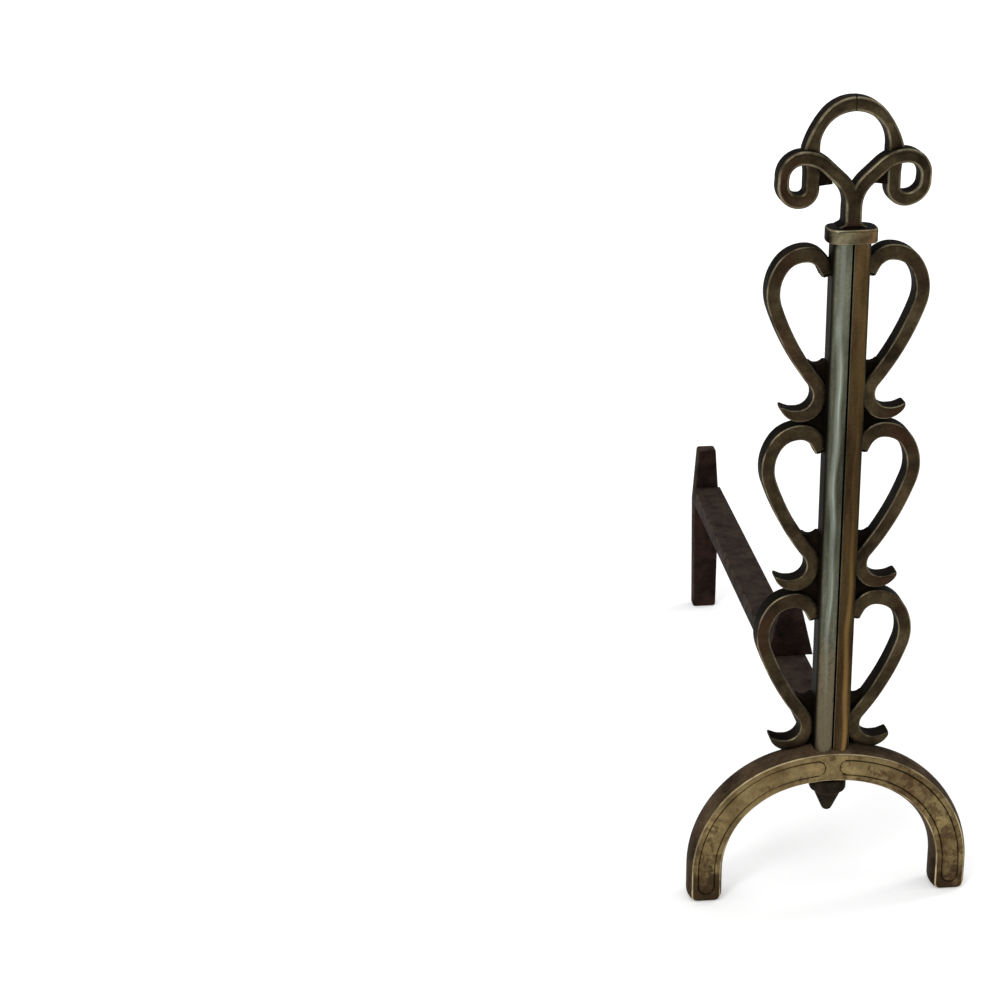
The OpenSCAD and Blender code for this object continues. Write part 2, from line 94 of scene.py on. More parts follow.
# Painted highlights down the reeds, bright bands in place of reflections: the X of each, its
# half-width, and its strength by height, as a share of the upright's height above the arch.
REED_HIGHLIGHTS = [(-6.4, 3.8, {0: 0.42, 0.2: 0.5, 0.33: 0.62, 0.6: 0.7, 0.85: 0.66, 1: 0.54}),
              (-6, 1.2, {0: 0.2, 0.2: 0.42, 0.33: 0.85, 0.45: 0.7, 0.52: 1.0, 0.6: 0.75,
                         0.72: 1.0, 0.85: 0.66, 1: 0.4}),
              (6.8, 2.8, {0: 0.82, 0.3: 0.72, 0.5: 0.5, 1: 0.4})]

# Scrolls. CROWN is the X and height of the uppermost scroll's highest point, on the
# bar's centre line. From there FLANK leads out and down to the waist and CURL in to the
# upright, both as steps for walk().
SCROLL_W = 9.0
SCROLL_DEPTH = 14.0
SCROLL_FRONT = 13.0
SCROLL_CORNER = 1.4
SCROLL_ENDS = (2.4, 1.5)
SCROLL_PITCH = 117.5
CROWN = (27.2, 452.2)
FLANK = [[18.4, 54], [30.2, 55.1], [168, 19.4]]
CURL = [[12, -72], [0, 8]]
# The waist's inner radius. The tail leaves it at this angle; its underside and its hollow
# top are arcs, and its tip lies this far out from the waist's centre.
WAIST_IN = 9.5
TAIL_ANGLE = 225
TAIL_R = 15.0
TAIL_TOP_R = 40.0
TAIL_LEN = 11.0
TAIL_RINGS = 30
# How much thicker the bar is forged at its crown, on the inner side, and over what
# length; how much thinner it gets in the curl, with the start and the length of that from
# the crown; and how far the tail's upper edge is raised at its tip, with the first ring
# and the number of rings of that.
CROWN_EXTRA = 1.3
CROWN_SPREAD = 15
CURL_THINNING = 1.2
THINNING_RUN = (9, 14)
TIP_RISE = 1.2
TIP_RUN = (16, 12)

# Finial. ARM and CURL_DOWN are steps for walk() from the top of the cap.
HORN_W = 9.2
HORN_DEPTH = 14.0
HORN_FRONT = 7.0
HORN_SETBACK = 5.0
HORN_CORNER = 2.4
HORN_ENDS = (0.3, 0.5)
STEM_HALF_W = 5.4
STEM_DEPTH = 17.5
STEM_FILLET = 4.0
ARM = [[0, 12.6], [24, 47], [0, 12], [22, 43]]
CURL_DOWN = [[12.4, 90], [0, 4.2], [11.5, 90], [7.6, 90], [0, 9.6]]
# Width of the bar along the horn, at [distance from the arm's highest point, width].
HORN_WIDTHS = [[0, 9.2], [21, 7.4], [40, 9.1], [52, 9.2]]
# Where the bar steps back, from the arm's highest point, and where its depth shrinks from
# the stem's to the horn's: the start and the length of each.
SETBACK_RUN = (14, 34)
TAPER_RUN = (8, 20)
# The loop's outer line is an arc at the top and a flatter one at each side, each with its
# radius and its angle, and its inner line is a half circle.
LOOP_TOP = 550.0
LOOP_R = 25.5
LOOP_TOP_ANGLE = 50
LOOP_SIDE_R = 60.0
LOOP_SIDE_ANGLE = 25
LOOP_IN_R = 21.3
LOOP_W = 9.5
LOOP_RINGS = 70

# Log bar, log stop and post. A reach is measured from the arch's front face, and the
# post is widest at the bar's underside.
BAR_W = 25.0
BAR_T = 13.0
BAR_CORNER = 1.5
BAR_TOP = 115.0
BAR_REACH = 511.0
STOP_REACH = 147.0
STOP_H = 45.0
STOP_T = 10.0
STOP_TOP_W = 17.0
STOP_FOOT_W = 35.0
STOP_EDGE = 1.4
POST_H = 150.5
POST_T = 12.0
POST_FOOT_W = 20.6
POST_MID_W = 23.0
POST_TOP_W = 15.6
POST_CORNER = 2.5
POST_EDGE = 1.8
RIVET_R = 7.5
RIVET_HEAD = 2.5

# Round nut and drop-shaped nut under the crown, turned about the tie rod's line, which is
# this far behind the arch's front face.
ROD_Y = 15.0
NUT_R = 12.5
NUT_BOTTOM = 76.5
# How far below the band's underside its flat seat for the round nut lies.
NUT_SEAT = 2.2
NUT_TOP = ARCH_TOP - BAND_W - NUT_SEAT
DROP_R = 9.7
DROP_TIP = 59.5
DROP_TIP_R = 4.0
DROP_NECK = 1.5

# Braze, which is sunk a little into the upright. Reaches are measured from the upright's
# side outwards.
BRAZE_FRONT = SCROLL_FRONT + 4.0
BRAZE_DEPTH = 8.0
BRAZE_SINK = 2.0
# The hollow top of a fillet above a waist: its radius, its centre below the crown and the
# angles between which it is round.
HOLLOW_R = 5.5
HOLLOW_DROP = 68.4
HOLLOW_ARC = (218, 318)
WAIST_REACH = 8.0
FLANK_REACH = 12.0
# Height of a waist over the crown line of the next pair. A fillet below a waist spans the
# gap to that pair: its foot below the line, its shoulder, neck and top above it.
WAIST_RISE = 23.0
FOOT_DROP = 4.5
FOOT_SEAT = 1.3
FOOT_REACH = 11.5
SHOULDER_RISE = 14.0
NECK_RISE = 18.0
NECK_REACH = 2.5
TOP_RISE = 20.0
# The block under the horn's arm, as places from the end of the horn's centre line.
ARM_BLOCK = [(-13, -6.5), (-4, -7.5), (0, 0), (-4, 2), (-9, 1)]
ARM_BLOCK_DEPTH = 7.0

# ---- finish, wear and painted light ------------------------------------------------

# Wear and sheen is 1 on a bright edge, partly wear and partly painted highlight, 0 where
# the finish is whole and below 0 in a dark line.
GROOVE_WEAR = -0.75
SEAM_WEAR = -0.6
REAR_EDGE_WEAR = 0.6
# The rounded end of a bar: angles of its rings and their marks of wear and painted highlight.
END_RINGS = [(30, 0.5), (60, 0.7), (90, 0.2)]
# A surface has the front's finish and colours where its normal leans forwards, from the first
# share of the normal on and in full from the second; elsewhere its colours are partly its finish
# and partly painted light and shade by facing. The back has a part of the front's colours.
LEAN = (0.25, 0.75)
BACK_FRONT_SHARE = 0.45
# Edges sharper than this, in degrees, are not smoothed over.
SHARP_ANGLE = 50

# ---- outlines ------------------------------------------------------------------


def polar(radius, angle):
    """The point at a radius and at an angle in degrees."""
    a = math.radians(angle)
    return np.array([radius * math.cos(a), radius * math.sin(a)])


def walk(point, heading, steps, spacing=1.2):
    """Follows [radius, sweep] steps, clockwise sweeps positive, radius 0 for a straight.
    Returns the points and the headings along the way."""
    point = np.array(point, float)
    points, headings = [point], [heading]
    for radius, sweep in steps:
        length = sweep if radius == 0 else radius * math.radians(abs(sweep))
        count = max(2, round(length / spacing))
        side = -1 if sweep < 0 else 1
        centre = point - side * polar(radius, heading + 90)
        for k in range(1, count + 1):
            turned = heading if radius == 0 else heading - sweep * k / count
            if radius == 0:
                points.append(point + polar(sweep * k / count, heading))
            else:
                points.append(centre + side * polar(radius, turned + 90))
            headings.append(turned)
        point, heading = points[-1], headings[-1]
    return np.array(points), np.array(headings)


def arc(centre, radius, start, end, count=24):
    """Points of an arc from one angle to another."""
    return np.array([np.array(centre) + polar(radius, a)
                     for a in np.linspace(start, end, count)])


def distances(points):
    """How far along a line each of its points is."""
    return np.concatenate([[0], np.cumsum(np.linalg.norm(np.diff(points, axis=0), axis=1))])


def resample(points, count):
    """The same line with evenly spaced points."""
    along = distances(points)
    even = np.linspace(0, along[-1], count)
    return np.column_stack([np.interp(even, along, points[:, k]) for k in (0, 1)])


def ease(x):
    """Rises softly from 0 at 0 to 1 at 1 and is level beyond."""
    x = np.clip(x, 0, 1)
    return x * x * (3 - 2 * x)


# ---- meshes --------------------------------------------------------------------


def leaning(share):
    """1 where a normal's share in a direction is large, 0 where it is small."""
    low, high = LEAN
    return ease((share - low) / (high - low))


def piece(name, verts, faces, wear_and_sheen, node, slot, material):
    """A smooth mesh object that stands for a CAD node and rides on the part's one body."""
    mesh = bpy.data.meshes.new(name)
    mesh.from_pydata([tuple(v) for v in np.array(verts) * MM], [], faces)
    marks = mesh.attributes.new("wear_and_sheen", "FLOAT", "POINT")
    marks.data.foreach_set("value", np.array(wear_and_sheen, float))
    tidy = bmesh.new()
    tidy.from_mesh(mesh)
    bmesh.ops.recalc_face_normals(tidy, faces=tidy.faces)
    tidy.to_mesh(mesh)
    tidy.free()
    # How far each normal leans forwards; forged() colours by it, which paints light and shade by
    # facing: sides darker than fronts, and on the black iron tops lighter.
    facing = np.zeros(len(mesh.vertices) * 3)
    mesh.vertices.foreach_get("normal", facing)
    front = mesh.attributes.new("front", "FLOAT", "POINT")
    front.data.foreach_set("value", leaning(-facing[1::3]) + BACK_FRONT_SHARE * leaning(facing[1::3]))
    mesh.shade_smooth()
    mesh.set_sharp_from_angle(angle=math.radians(SHARP_ANGLE))
    mesh.materials.append(material)
    obj = bpy.data.objects.new(name, mesh)
    bpy.context.scene.collection.objects.link(obj)
    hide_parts(node)
    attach(obj, "root")


def skin(rings):
    """Faces between equal closed rings, with a face over each end."""
    size = len(rings[0])
    faces = [tuple(range(size)), tuple(range((len(rings) - 1) * size, len(rings) * size))]
    for r in range(len(rings) - 1):
        for k in range(size):
            n = (k + 1) % size
            faces.append((r * size + k, r * size + n, (r + 1) * size + n, (r + 1) * size + k))
    return faces


def rounded_section(width, depth, corner, flats=3, turn=6):
    """A rounded box outline from (0, 0) to (width, depth), with its marks of wear and painted
    highlight at each point.
    """
    corner = min(corner, 0.48 * width, 0.48 * depth)
    centres = [(corner, corner, 180), (width - corner, corner, 270),
               (width - corner, depth - corner, 0), (corner, depth - corner, 90)]
    fans = [[np.array([x, y]) + polar(corner, start + 90 * k / turn) for k in range(turn + 1)]
            for x, y, start in centres]
    points, wear_and_sheen = [], []
    for i, fan in enumerate(fans):
        gap = fans[(i + 1) % 4][0] - fan[-1]
        points += fan + [fan[-1] + gap * k / (flats + 1) for k in range(1, flats + 1)]
        wear_and_sheen += [math.sin(math.pi * k / turn) for k in range(turn + 1)] + [0] * flats
    return np.array(points), np.array(wear_and_sheen)


def blunt(rings, wear_and_sheen, corners):
    """Rounds both ends of a bar: rings that shrink towards the middle are added to them."""
    rings = [np.array(r) for r in rings]
    ends = []
    for index, other, corner in ((0, 2, corners[0]), (-1, -3, corners[1])):
        middle = rings[index].mean(axis=0)
        away = middle - rings[other].mean(axis=0)
        away /= np.linalg.norm(away)
        half = np.linalg.norm(rings[index] - middle, axis=1).min()
        corner = min(corner, 0.75 * half)
        rings[index] = rings[index] - away * corner
        added = []
        for angle, _ in END_RINGS:
            inset = corner * (1 - math.cos(math.radians(angle)))
            shrunk = middle + (rings[index] + away * corner - middle) * (1 - inset / half)
            added.append(shrunk - away * corner * (1 - math.sin(math.radians(angle))))
        ends.append(added)
    bright_marks = [np.full(len(wear_and_sheen[0]), mark) for _, mark in END_RINGS]
    del rings[1], rings[-2]
    wear_and_sheen = wear_and_sheen[:1] + wear_and_sheen[2:-2] + wear_and_sheen[-1:]
    return ends[0][::-1] + rings + ends[1], bright_marks[::-1] + wear_and_sheen + bright_marks


def strap(name, inner, outer, front, depth, corner, ends, mirrored, *stands_for, limit=0,
          seam=False):
    """A bar between two edge lines in the front plane, from the depth front backwards, with
    its corners and both ends rounded. Nothing of it crosses the upright plane X = limit,
    and mirrored puts it on the left. A seam darkens the last end, where the bar meets its
    mirror image."""
    front = np.broadcast_to(front, len(inner))
    depth = np.broadcast_to(depth, len(inner))
    rings, wear_and_sheen = [], []
    for a, b, y, deep in zip(inner, outer, front, depth):
        width = np.linalg.norm(b - a)
        section, marks = rounded_section(width, deep, corner)
        spots = a + (b - a) * section[:, :1] / width
        rings.append(np.column_stack([spots[:, 0], FRONT + y + section[:, 1], spots[:, 1]]))
        wear_and_sheen.append(marks)
    rings, wear_and_sheen = blunt(rings, wear_and_sheen, ends)
    if seam:
        count = len(END_RINGS)
        wear_and_sheen[:count] = [np.zeros(len(wear_and_sheen[0]))] * count
        wear_and_sheen[-count:] = [np.full(len(wear_and_sheen[0]), SEAM_WEAR)] * count
    verts = np.concatenate(rings)
    verts[:, 0] = np.maximum(verts[:, 0], limit) * (-1 if mirrored else 1)
    piece(name, verts, skin(rings), np.concatenate(wear_and_sheen), *stands_for)


def inset_outline(outline, inset):
    """Moves a counter-clockwise convex outline inwards, square to its sides."""
    along = np.roll(outline, -1, axis=0) - np.roll(outline, 1, axis=0)
    along /= np.linalg.norm(along, axis=1)[:, None]
    return outline + np.column_stack([-along[:, 1], along[:, 0]]) * inset


def soft_profile(thickness, corner, turn=6):
    """Insets and heights of a plate with rounded edges, with their marks of wear and painted
    highlight.
    """
    rise = [(corner * (1 - math.sin(a)), corner * (1 - math.cos(a)), math.sin(2 * a))
            for a in np.linspace(0, math.pi / 2, turn)]
    return rise + [(i, thickness - t, w) for i, t, w in rise[::-1]]


def plate(name, outline, place, profile, *stands_for):
    """A convex plate from its outline and its profile. place(a, b, t) puts outline point
    (a, b) at height t of the profile into the part's frame."""
    rings = [np.array([place(a, b, t) for a, b in inset_outline(outline, inset)])
             for inset, t, _ in profile]
    wear_and_sheen = np.concatenate([np.full(len(outline), w) for _, _, w in profile])
    piece(name, np.concatenate(rings), skin(rings), wear_and_sheen, *stands_for)


def lathe(name, profile, place, *stands_for, sides=72):
    """Turns a profile of (radius, height, mark of wear and painted highlight). place(a, b, t) as
    for a plate.
    """
    rings = [np.array([place(*polar(max(radius, 0.01), 360 * k / sides), height)
                       for k in range(sides)]) for radius, height, _ in profile]
    wear_and_sheen = np.concatenate([np.full(sides, w) for _, _, w in profile])
    piece(name, np.concatenate(rings), skin(rings), wear_and_sheen, *stands_for)


def rounded_polygon(corners, radius, turn=5):
    """A counter-clockwise polygon with rounded corners."""
    corners = np.array(corners, float)
    points = []
    for k, corner in enumerate(corners):
        back = corners[k - 1] - corner
        ahead = corners[(k + 1) % len(corners)] - corner
        back /= np.linalg.norm(back)
        ahead /= np.linalg.norm(ahead)
        half = math.acos(np.clip(back @ ahead, -1, 1)) / 2
        reach = radius / math.tan(half)
        a, b = corner + back * reach, corner + ahead * reach
        for t in np.linspace(0, 1, turn + 1):
            points.append((1 - t) ** 2 * a + 2 * t * (1 - t) * corner + t * t * b)
    return np.array(points)


# ---- arch base -----------------------------------------------------------------


def groove(along, across, half_length):
    """Depth of the incised loops at a spot of the band's front, measured from the crown."""
    near = LOOP_GAP / 2 + LINE_GAP / 2
    far = half_length - LINE_FOOT - LINE_GAP / 2
    past = abs(along) - np.clip(abs(along), near, far)
    off = abs(math.hypot(past, across) - LINE_GAP / 2)
    return LINE_CUT * float(ease(LINE_SPREAD - off / (LINE_W / 2)))


def arch_section(inset, shallow, along, half_length):
    """Points (across, depth) and marks of wear and painted highlight round the band. Those of
    the front are close together, because it carries the loops."""
    half = BAND_W / 2 - inset
    flat = half - ARCH_EDGE
    front_y, rear_y = shallow, ARCH_DEPTH - shallow
    points, wear_and_sheen = [], []
    for u in np.linspace(-flat, flat, 60):
        cut = groove(along, u, half_length)
        points.append((u, front_y + cut))
        wear_and_sheen.append(GROOVE_WEAR * cut / LINE_CUT)
    turn = [math.radians(90 * k / 5) for k in range(6)]
    for side in (1, -1):
        first, last = (front_y, rear_y) if side > 0 else (rear_y, front_y)
        inwards = ARCH_EDGE * side
        for a in turn[1:]:
            points.append((side * (flat + ARCH_EDGE * math.sin(a)),
                           first + inwards * (1 - math.cos(a))))
            wear_and_sheen.append(math.sin(2 * a))
        for v in np.linspace(first + inwards, last - inwards, 10)[1:-1]:
            swell = BAND_SWELL * (1 - (2 * v / ARCH_DEPTH - 1) ** 2)
            points.append((side * (half + swell), v))
            wear_and_sheen.append(0)
        for a in turn:
            points.append((side * (flat + ARCH_EDGE * math.cos(a)),
                           last - inwards * (1 - math.sin(a))))
            wear_and_sheen.append(math.sin(2 * a))
    return points, wear_and_sheen


def corner_inset(height, radius):
    """How far a corner of this radius is in from the side at a height above its end."""
    low = max(radius - height, 0)
    return radius - math.sqrt(max(radius * radius - low * low, 0))


def arch_base(material):
    """The band follows a centre line of three arcs between two straight feet."""
    s, c = math.sin(math.radians(CROWN_HALF_ANGLE)), math.cos(math.radians(CROWN_HALF_ANGLE))
    centre_gap = (ARCH_HALF - ARCH_TOP + FOOT_STRAIGHT) / (s + c - 1)
    haunch = ARCH_HALF - centre_gap * s - BAND_W / 2
    crown = haunch + centre_gap
    points, headings = walk((BAND_W / 2 - ARCH_HALF, 0), 90, [
        [0, FOOT_STRAIGHT], [haunch, 90 - CROWN_HALF_ANGLE], [crown, 2 * CROWN_HALF_ANGLE],
        [haunch, 90 - CROWN_HALF_ANGLE], [0, FOOT_STRAIGHT]], spacing=0.5)
    along = distances(points)
    half_length = along[-1] / 2
    rings, wear_and_sheen = [], []
    for point, heading, run in zip(points, headings, along):
        end = min(run, 2 * half_length - run)
        section, marks = arch_section(corner_inset(end, FOOT_ROUND),
                                      corner_inset(end, FOOT_ROUND / 2),
                                      run - half_length, half_length)
        out = polar(1, heading + 90)
        rings.append(np.array([(point[0] + u * out[0], FRONT + v, point[1] + u * out[1])
                               for u, v in section]))
        wear_and_sheen.append(np.array(marks))
    piece("arch", np.concatenate(rings), skin(rings), np.concatenate(wear_and_sheen),
          "arch_base", "arch_metal", material)


# ---- upright and cap -------------------------------------------------------------


def reed_depth(x):
    """How far behind the upright's front its surface lies at x."""
    crest = COLUMN_W / 2 - REED_ROUND
    reed_r = (crest ** 2 + REED_SWELL ** 2) / (2 * REED_SWELL)
    radius = REED_ROUND if abs(x) > crest else reed_r
    depth = radius - math.sqrt(max(radius ** 2 - (abs(x) - crest) ** 2, 0))
    line = ease(REED_LINE_SPREAD - abs(x) / (REED_LINE_W / 2))
    return depth + REED_LINE_CUT * float(line)


def upright(material):
    """Two reeds in front and a plain back, with painted highlight bands that wander a little."""
    half = COLUMN_W / 2
    crest = half - REED_ROUND
    turn = [crest + REED_ROUND * math.sin(a) for a in np.linspace(0, math.pi / 2, 20)]
    right = np.concatenate([np.linspace(0, REED_LINE_W, 10),
                            np.linspace(REED_LINE_W + 0.1, crest, 10), turn[1:]])
    outline = [(x, COLUMN_FRONT + reed_depth(x)) for x in np.concatenate([-right[:0:-1], right])]
    front_count = len(outline)
    rear = rounded_section(COLUMN_W, COLUMN_DEPTH - REED_ROUND, COLUMN_REAR_ROUND, flats=6)
    marks = [0] * front_count
    for (x, y), mark in zip(*rear):
        if y > COLUMN_REAR_ROUND:
            outline.append((x - half, COLUMN_FRONT + REED_ROUND + y))
            marks.append(REAR_EDGE_WEAR * mark)
    rings, wear_and_sheen = [], []
    for share in np.linspace(0, 1, 90):
        z = COLUMN_FOOT + share * (COLUMN_TOP - COLUMN_FOOT)
        rings.append(np.array([(x, FRONT + y, z) for x, y in outline]))
        ring = np.array(marks, float)
        sway = 0.7 * math.sin(19 * share + 0.6) + 0.4 * math.sin(43 * share)
        bands = [(middle, wide, np.interp(share, list(strengths), list(strengths.values())))
                 for middle, wide, strengths in REED_HIGHLIGHTS]
        # The front's marks are the painted highlight bands, and -1 in the line between the
        # reeds.
        for k, (x, _) in enumerate(outline[:front_count]):
            ring[k] = -1 if abs(x) < REED_LINE_W / 2 + 0.1 else max(
                strength * math.exp(-((x - middle - sway) / wide) ** 2)
                for middle, wide, strength in bands)
        wear_and_sheen.append(ring)
    piece("reeded_upright", np.concatenate(rings), skin(rings), np.concatenate(wear_and_sheen),
          "upright", "bright_metal", material)


def cap(material):
    """A plate with round ends and soft edges."""
    half = CAP_W / 2
    outline = rounded_polygon([(-half, CAP_FRONT), (half, CAP_FRONT),
                               (half, CAP_FRONT + CAP_DEPTH), (-half, CAP_FRONT + CAP_DEPTH)],
                              CAP_ROUND, turn=8)
    # The lower edge is only broken, the upper one is round.
    profile = [(0.8, 0, 0.2), (0.25, 0.3, 0.9), (0, 0.9, 0.3)]
    for a in np.linspace(0, math.pi / 2, 9):
        profile.append((CAP_EDGE * (1 - math.cos(a)), CAP_T - CAP_EDGE * (1 - math.sin(a)),
                        math.sin(2 * a)))
    plate("cap_plate", outline, lambda x, y, t: (x, FRONT + y, COLUMN_TOP + t), profile,
          "cap", "bright_metal", material)


# ---- scrolls ---------------------------------------------------------------------


def scroll_edges():
    """The heart side and the outer side of a right-hand scroll, from curl to tail."""
    curl, curl_headings = walk(CROWN, 180, CURL, spacing=0.8)
    flank, flank_headings = walk(CROWN, 0, FLANK, spacing=1.2)
    turn = flank_headings[-1] - (TAIL_ANGLE - 270)
    bar, headings = walk(CROWN, 0, FLANK + [[WAIST_IN + SCROLL_W / 2, turn]], spacing=1.2)
    waist = flank[-1] + polar(WAIST_IN + SCROLL_W / 2, flank_headings[-1] + 90)
    points = np.concatenate([curl[:0:-1], bar])
    facing = np.concatenate([curl_headings[:0:-1] - 180, headings])
    across = np.array([polar(1, h + 90) for h in facing])
    from_crown = distances(points) - distances(curl)[-1]
    extra = CROWN_EXTRA * np.exp(-(from_crown / CROWN_SPREAD) ** 2)
    start, length = THINNING_RUN
    thin = CURL_THINNING * ease((-from_crown - start) / length)
    heart = points - across * (SCROLL_W / 2 + extra - thin)[:, None]
    outer = points + across * SCROLL_W / 2
    # The tail: its underside is one arc, its top runs on round the waist into a hollow.
    low = waist + polar(WAIST_IN + SCROLL_W - TAIL_R, TAIL_ANGLE)
    tip_angle = 360 - math.degrees(math.acos((waist[0] + TAIL_LEN - low[0]) / TAIL_R))
    under = arc(low, TAIL_R, TAIL_ANGLE, tip_angle)
    hollow = waist + [0, TAIL_TOP_R - WAIST_IN]
    hollow_end = 270 + math.degrees(math.asin(TAIL_LEN / TAIL_TOP_R))
    top = np.concatenate([arc(waist, WAIST_IN, TAIL_ANGLE, 270),
                          arc(hollow, TAIL_TOP_R, 270, hollow_end)[1:]])
    under, top = resample(under, TAIL_RINGS)[1:], resample(top, TAIL_RINGS)[1:]
    start, count = TIP_RUN
    top[:, 1] += TIP_RISE * ease((np.arange(TAIL_RINGS - 1) - start) / count)
    return np.concatenate([heart, under]), np.concatenate([outer, top])


def scrolls(material):
    """Three on each side, all alike."""
    heart, outer = scroll_edges()
    for side in ("left", "right"):
        for n in (1, 2, 3):
            drop = np.array([0, SCROLL_PITCH * (n - 1)])
            node = f"scroll_{side}_{n}"
            strap(f"{node}_bar", heart - drop, outer - drop, SCROLL_FRONT, SCROLL_DEPTH,
                  SCROLL_CORNER, SCROLL_ENDS, side == "left", node, "scroll_metal", material,
                  limit=COLUMN_W / 2)


# ---- finial ----------------------------------------------------------------------


def loop_edges(outer_foot, inner_foot):
    """The loop's outer and inner edge, from its foot up to the middle plane."""
    top = np.array([0, LOOP_TOP - LOOP_R])
    side = top - polar(LOOP_SIDE_R - LOOP_R, 90 - LOOP_TOP_ANGLE)
    joint = 90 - LOOP_TOP_ANGLE
    outer = np.concatenate([[outer_foot], arc(side, LOOP_SIDE_R, joint - LOOP_SIDE_ANGLE, joint),
                            arc(top, LOOP_R, joint, 90)[1:]])
    inner = np.concatenate([[inner_foot],
                            arc((0, LOOP_TOP - LOOP_W - LOOP_IN_R), LOOP_IN_R, 0, 90, 48)])
    return resample(outer, LOOP_RINGS)[1:], resample(inner, LOOP_RINGS)[1:]


def finial(side, material):
    """One bar: the stem, the arm, round the horn's eye, up behind itself and the loop."""
    points, headings = walk((STEM_HALF_W - HORN_W / 2, COLUMN_TOP + CAP_T), 90,
                            ARM + CURL_DOWN, spacing=0.9)
    crest = distances(walk((0, 0), 90, ARM, spacing=0.9)[0])[-1]
    along = distances(points)
    widths = np.interp(along - crest, *np.transpose(HORN_WIDTHS))
    across = np.array([polar(1, h + 90) for h in headings]) * widths[:, None] / 2
    flare = np.array([[corner_inset(a, STEM_FILLET), 0] for a in along])
    outer, inner = points - across + flare, points + across
    loop_outer, loop_inner = loop_edges(outer[-1], inner[-1])
    count = len(loop_outer)
    start, length = SETBACK_RUN
    setback = HORN_SETBACK * ease((along - crest - start) / length)
    start, length = TAPER_RUN
    extra = (STEM_DEPTH - HORN_DEPTH) * (1 - ease((along - start) / length))
    strap(f"horn_and_loop_{side}", np.concatenate([outer, loop_outer]),
          np.concatenate([inner, loop_inner]),
          HORN_FRONT + np.append(setback, np.full(count, HORN_SETBACK)),
          HORN_DEPTH + np.append(extra, np.zeros(count)), HORN_CORNER, HORN_ENDS,
          side == "left", f"finial_{side}", "scroll_metal", material, seam=True)


# ---- log bar, stop and post --------------------------------------------------------


def log_bar(material):
    """The bar, and the rivet head of its tenon behind the post."""
    section, marks = rounded_section(BAR_W, BAR_T, BAR_CORNER, flats=6)
    rings = [np.array([(u - BAR_W / 2, FRONT + y, BAR_TOP - BAR_T + v) for u, v in section])
             for y in np.linspace(COLUMN_FRONT + COLUMN_DEPTH, BAR_REACH, 120)]
    stands_for = ("log_bar", "black_iron", material)
    piece("flat_bar", np.concatenate(rings), skin(rings), np.tile(marks, len(rings)),
          *stands_for)
    dome_r = (RIVET_R ** 2 + RIVET_HEAD ** 2) / (2 * RIVET_HEAD)
    profile = [(RIVET_R, 0, 0)]
    for r in np.linspace(RIVET_R - 0.2, 0, 8):
        profile.append((r, RIVET_HEAD - dome_r + math.sqrt(dome_r ** 2 - r * r), 0.2))
    lathe("rivet_head", profile, lambda a, b, t: (a, FRONT + BAR_REACH + POST_T + t,
                                                  BAR_TOP - BAR_T / 2 + b), *stands_for)


def log_stop(material):
    """A plate that narrows to a round top."""
    round_z = STOP_H - STOP_TOP_W / 2
    outline = [(-STOP_FOOT_W / 2, 0), (STOP_FOOT_W / 2, 0)]
    outline += [tuple(p) for p in arc((0, round_z), STOP_TOP_W / 2, 0, 180, 17)]
    plate("stop", np.array(outline), lambda x, z, t: (x, FRONT + STOP_REACH + t, BAR_TOP + z),
          soft_profile(STOP_T, STOP_EDGE), "log_stop", "black_iron", material)


def rear_post(material):
    """A plate that is widest at the log bar's underside."""
    foot, mid, top = POST_FOOT_W / 2, POST_MID_W / 2, POST_TOP_W / 2
    shoulder = BAR_TOP - BAR_T
    outline = rounded_polygon([(-foot, 0), (foot, 0), (mid, shoulder), (top, POST_H),
                               (-top, POST_H), (-mid, shoulder)], POST_CORNER)
    plate("post", outline, lambda x, z, t: (x, FRONT + BAR_REACH + t, z),
          soft_profile(POST_T, POST_EDGE), "rear_post", "black_iron", material)


# ---- braze -------------------------------------------------------------------------


def braze_outlines():
    """Front outlines of one side's braze, each with its front and depth. Their hidden
    sides lie inside the upright and the scrolls' bars."""
    face = COLUMN_W / 2
    inside = face - BRAZE_SINK
    found = []
    for n in (1, 2, 3):
        crown_z = CROWN[1] - SCROLL_PITCH * (n - 1)
        next_z = crown_z - SCROLL_PITCH
        waist_z = next_z + WAIST_RISE
        hollow = (face + HOLLOW_R, crown_z - HOLLOW_DROP)
        top = [tuple(p) for p in arc(hollow, HOLLOW_R, *HOLLOW_ARC, 12)]
        found.append([(inside, waist_z), (face + WAIST_REACH, waist_z),
                      (face + FLANK_REACH, top[-1][1])] + top[::-1] + [(inside, top[0][1])])
        foot_z = next_z - FOOT_DROP if n < 3 else ARCH_TOP - FOOT_SEAT
        found.append([(inside, foot_z), (face + FOOT_REACH, foot_z),
                      (face + FOOT_REACH, next_z + SHOULDER_RISE),
                      (face + NECK_REACH, next_z + NECK_RISE), (inside, next_z + TOP_RISE)])
    found = [(outline, BRAZE_FRONT, BRAZE_DEPTH) for outline in found]
    x, z = walk((STEM_HALF_W - HORN_W / 2, COLUMN_TOP + CAP_T), 90, ARM + CURL_DOWN)[0][-1]
    under_arm = [(x + right, z + up) for right, up in ARM_BLOCK]
    return found + [(under_arm, HORN_FRONT + HORN_SETBACK + 1, ARM_BLOCK_DEPTH)]


def braze(side, material):
    """All the braze of one side as one object."""
    verts, faces = [], []
    for outline, front, depth in braze_outlines():
        rings = [[(x if side == "right" else -x, FRONT + y, z) for x, z in outline]
                 for y in (front, front + depth)]
        faces += [tuple(len(verts) + k for k in face) for face in skin(rings)]
        verts += rings[0] + rings[1]
    piece(f"braze_fillets_{side}", verts, faces, [0] * len(verts), f"braze_{side}", "braze",
          material)


# ---- nuts ------------------------------------------------------------------------


